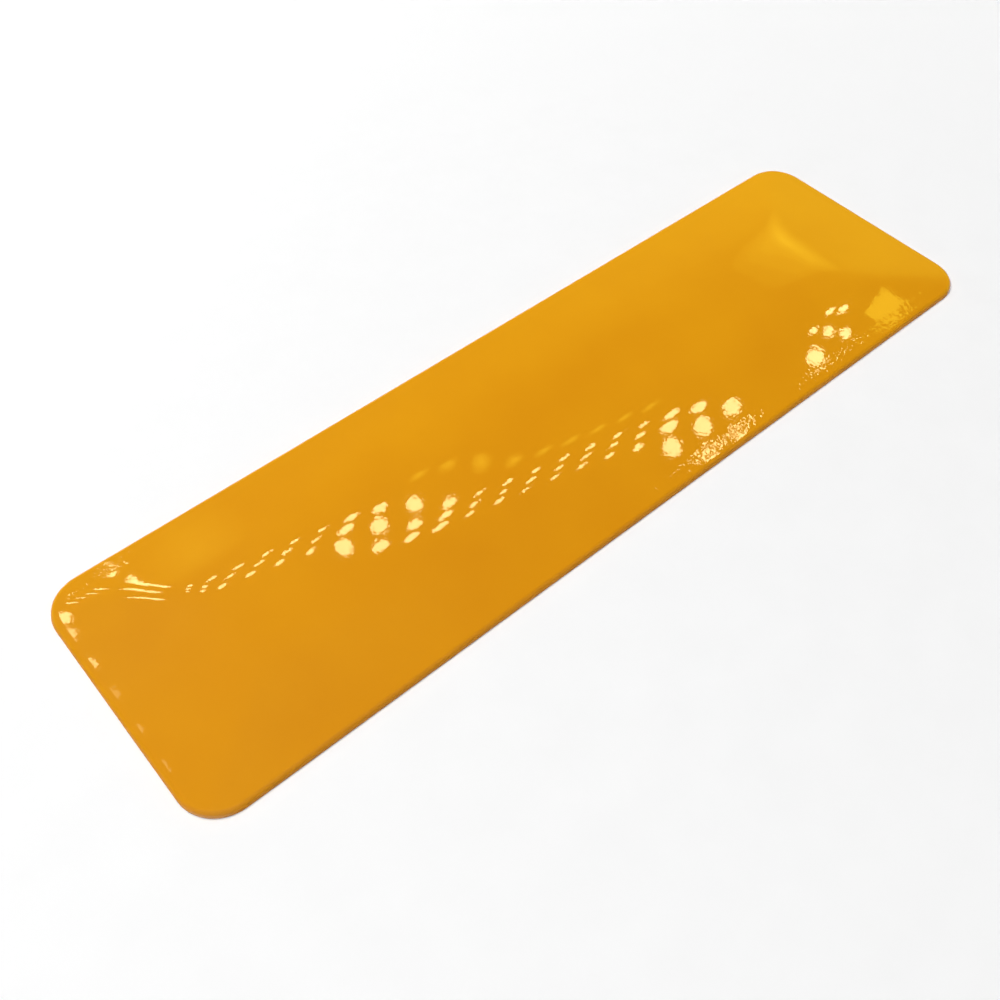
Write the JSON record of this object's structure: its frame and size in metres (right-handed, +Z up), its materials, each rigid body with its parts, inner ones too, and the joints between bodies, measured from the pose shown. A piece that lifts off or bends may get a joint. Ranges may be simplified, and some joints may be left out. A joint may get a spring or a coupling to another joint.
{
  "type": "raised pavement marker",
  "caption": "Long low steel lane marker, glossy golden-yellow enamel, arched across with a ramp at each end and threaded studs below.",
  "frame": {"origin": "middle of the marker's plan, on the road plane that the rim stands on", "axes": "+X along the marker and the lane line, +Y across it, +Z up out of the road"},
  "size_m": [0.525, 0.15, 0.0624],
  "materials": {
    "enamelled_steel": "gloss",
    "rib_steel": "mill scale",
    "strap_steel": "hot rolled, wire brushed",
    "zinc_plated_steel": "bright zinc plate",
    "butyl": "matte"
  },
  "bodies": {
    "root": {"dome_shell": "enamelled_steel", "spine_rib": "rib_steel", "cross_rib_1": "rib_steel", "cross_rib_2": "rib_steel", "cross_rib_3": "rib_steel", "cross_rib_4": "rib_steel", "cross_rib_5": "rib_steel", "cross_rib_6": "rib_steel", "cross_rib_7": "rib_steel", "anchor_strap_left": "strap_steel", "anchor_strap_right": "strap_steel", "anchor_studs": "zinc_plated_steel", "edge_seal": "butyl"}
  },
  "joints": []
}
